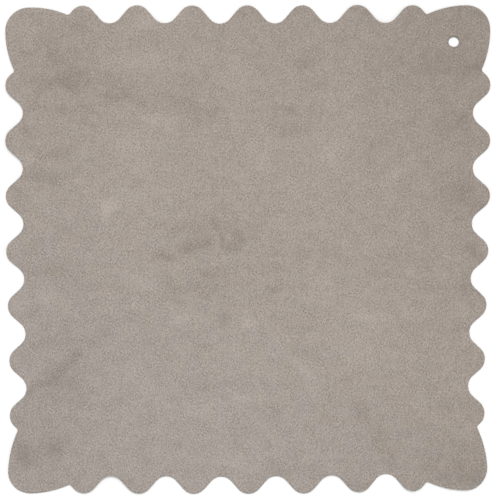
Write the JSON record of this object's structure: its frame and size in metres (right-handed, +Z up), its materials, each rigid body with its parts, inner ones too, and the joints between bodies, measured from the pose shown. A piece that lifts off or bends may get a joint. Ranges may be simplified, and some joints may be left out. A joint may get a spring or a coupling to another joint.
{
  "type": "microsuede cleaning cloth",
  "caption": "Square microsuede cleaning cloth with a wavy die-cut edge, petal corners and a punched hang hole in one corner, lying flat with its nap face up.",
  "frame": {"origin": "middle of the cloth on the surface that it lies on, under the back of its ground knit", "axes": "+Z up out of the nap face, +X and +Y along the cloth's sides, with the hang hole in the +X +Y corner"},
  "size_m": [0.305, 0.305, 0.0008],
  "materials": {
    "ground_knit": "dense matt warp knit",
    "suede_nap": "short brushed suede nap, soft and matt"
  },
  "bodies": {
    "root": {"ground_knit": "ground_knit", "suede_nap": "suede_nap"}
  },
  "joints": []
}
